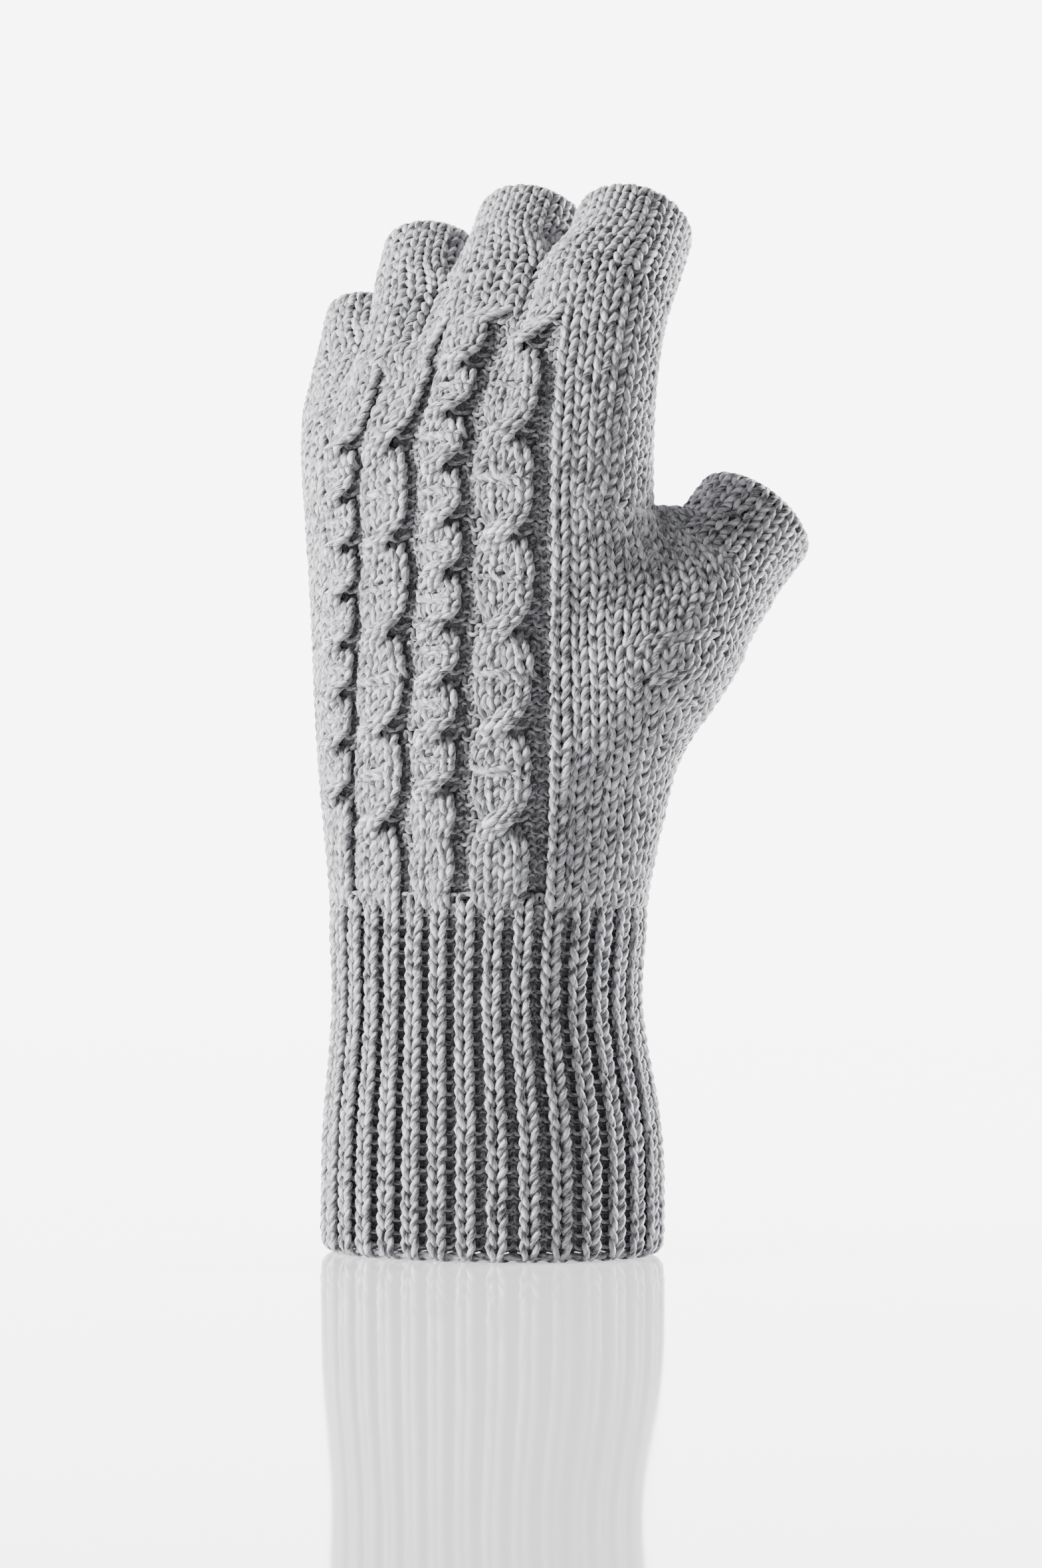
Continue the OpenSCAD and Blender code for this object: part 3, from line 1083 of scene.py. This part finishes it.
def build_hand():
    cloth = hand_cloth()
    nodes = {
        "back_low_knit": ("hand_shell",), "back_high_knit": ("knuckle_shell",),
        "palm_low_knit": ("thumb_gusset",), "palm_high_knit": ()}
    nodes.update({cable + "_knit": (cable,) for cable in ("cable_1", "cable_2", "cable_3", "cable_4")})
    yarns = {name: Yarns() for name in nodes}
    for course in range(HAND_COURSES):
        row = hand_stitches(cloth, float(course))
        points, normals, radius, shade = course_yarn(cloth, course + COURSE_MIDDLE, row)
        hidden = inside_thumb(points.reshape(len(row), STEPS, 3).mean(1))
        half = "_low_knit" if course < HAND_COURSES // 2 else "_high_knit"
        parts = [s.kind + half if s.kind in ("back", "palm") else s.kind for s in row]
        cuts = [i for i in range(1, len(row)) if (parts[i], hidden[i]) != (parts[i - 1], hidden[i - 1])]
        for start, end in zip([0] + cuts, cuts + [len(row)]):
            if not hidden[start]:
                span = np.arange(start * STEPS, end * STEPS + 1) % len(points)
                yarns[parts[start]].add(points[span], normals[span], radius[span], shade[span], False)
    levels = np.arange(0, HAND_COURSES + 0.1, 0.5)
    # dark sheet of painted shade inside the hand's cloth
    shade_sheet = shade_sheet_mesh("hand_heart", cloth, lambda course: hand_stitches(cloth, course), levels, inside_thumb)
    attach(shade_sheet, "hand")
    for name, stands_for in nodes.items():
        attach(knit_piece(yarns[name], name, stands_for), "hand")
    return cloth


# ---- digits

def shown_runs(shown):
    """Runs of neighbouring stitches that are shown, going round the course from a hidden one."""
    order = np.roll(np.arange(len(shown)), -int(np.argmin(shown)))
    runs = np.split(order, np.flatnonzero(np.diff(shown[order].astype(int))) + 1)
    return [run for run in runs if shown[run[0]]]


def build_digit(name, cloth, hidden=None):
    """Tube, dark sheet of painted shade and cast-off edge of a digit. Stitches for which hidden is true aren't
    made.
    """
    tube, edge = Yarns(), Yarns()
    row = [Stitch(i + 0.5) for i in range(cloth.stitches)]
    for course in range(cloth.courses):
        points, normals, radius, shade = course_yarn(cloth, course + COURSE_MIDDLE, row)
        shown = np.ones(len(row), bool)
        if hidden is not None:
            shown = ~hidden(points.reshape(len(row), STEPS, 3).mean(1))
        for run in shown_runs(shown):
            span = (run[:, None] * STEPS + np.arange(STEPS)).reshape(-1)
            tube.add(points[span], normals[span], radius[span], shade[span], bool(shown.all()))
    cord_edge(edge, cloth, cloth.courses - 0.05, cloth.stitches * 2, thick=0.24, lift=-0.3)
    levels = np.arange(0, cloth.courses + 0.1, 0.5)
    knit = knit_piece(tube, name + "_knit", (name + "_band", name + "_tube"))
    # dark sheet of painted shade inside the digit's cloth
    shade_sheet = shade_sheet_mesh(name + "_heart", cloth, lambda course: row, levels, hidden)
    for piece in (knit, shade_sheet):
        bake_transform(piece)
    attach(knit_piece(edge, name + "_cast_off", (name + "_edge",)), name)


def deep_inside(hand, margin):
    """Test for points that are deeper than margin inside the hand's cloth."""
    grid = hand.grid[::3, ::2].reshape(-1, 3)
    normal = hand.normal[::3, ::2].reshape(-1, 3)

    def test(points):
        nearest = [int(np.argmin(((grid - point) ** 2).sum(1))) for point in points]
        return ((points - grid[nearest]) * normal[nearest]).sum(1) <= -margin

    return test


# ---- stage, light and camera

VIEW_ANGLE = math.radians(38)
RIGHT = Vector((math.cos(VIEW_ANGLE), math.sin(VIEW_ANGLE), 0))
AWAY = Vector((-math.sin(VIEW_ANGLE), math.cos(VIEW_ANGLE), 0))
DISTANCE = 1.25  # metres from the camera to the glove
FRAME_HEIGHT = 0.2832  # height of the picture at that distance
AIM_RIGHT = 0.005  # place of the picture's middle, to the right of the glove's axis
AIM_HEIGHT = 0.0847  # and above the floor
FLOOR_GLOW = 0.85  # light that the lit acrylic floor gives off
BACKDROP = 7.5  # brightness of the studio behind the glove
ROOM = 0.007  # share of it that the rest of the room has


def build_stage():
    bpy.ops.mesh.primitive_plane_add(size=6, location=(0, 0, 0))
    floor = bpy.context.object
    floor.name = "floor"
    material, _, _ = shaded("pale_floor", {
        "Base Color": (0.40, 0.40, 0.41, 1), "Roughness": 0.06,
        "Emission Color": (1, 1, 1, 1), "Emission Strength": FLOOR_GLOW})
    floor.data.materials.append(material)
    world = bpy.data.worlds.new("studio")
    world.use_nodes = True
    make = NodeMaker(world.node_tree)
    place = make.node("TexCoord", "Generated", {})
    facing = make.node("VectorMath", "Value", {0: place, 1: AWAY}, operation="DOT_PRODUCT")
    background = world.node_tree.nodes["Background"]
    make.put(make.ramp(facing, 0.30, [ROOM] * 3, 0.93, [1] * 3, "EASE"), background.inputs["Color"])
    make.put(BACKDROP, background.inputs["Strength"])
    bpy.context.scene.world = world


def soft_light(name, place, size, power_w):
    """Rectangular light that faces the middle of the glove."""
    data = bpy.data.lights.new(name, "AREA")
    data.shape = "RECTANGLE"
    data.size, data.size_y = size
    data.energy = power_w
    light = linked(name, data)
    light.location = place
    light.rotation_euler = (Vector((0, 0, 0.1)) - place).to_track_quat("-Z", "Y").to_euler()
    light.visible_camera = False


def build_lights():
    up = Vector((0, 0, 1))
    soft_light("left_soft", RIGHT * -0.8 - AWAY * 0.22 + up * 0.30, (0.25, 0.7), 55)
    soft_light("right_soft", RIGHT * 0.80 + AWAY * 0.36 + up * 0.10, (0.25, 0.6), 95)
    soft_light("top_soft", AWAY * -0.2 + up * 0.9, (0.4, 0.4), 2)


def build_camera():
    data = bpy.data.cameras.new("camera")
    data.sensor_fit = "VERTICAL"
    data.sensor_height = 24
    data.lens = data.sensor_height * DISTANCE / FRAME_HEIGHT
    camera = linked("camera", data)
    camera.location = RIGHT * AIM_RIGHT + Vector((0, 0, AIM_HEIGHT)) - AWAY * DISTANCE
    camera.rotation_euler = (math.radians(90), 0, VIEW_ANGLE)
    bpy.context.scene.camera = camera


# ---- build

build_camera()
build_stage()
build_lights()
build_cuff()
HAND = build_hand()
for finger in FINGERS:
    build_digit(finger, finger_cloth(finger))
build_digit("thumb", thumb_cloth(), deep_inside(HAND, THUMB_COVER))
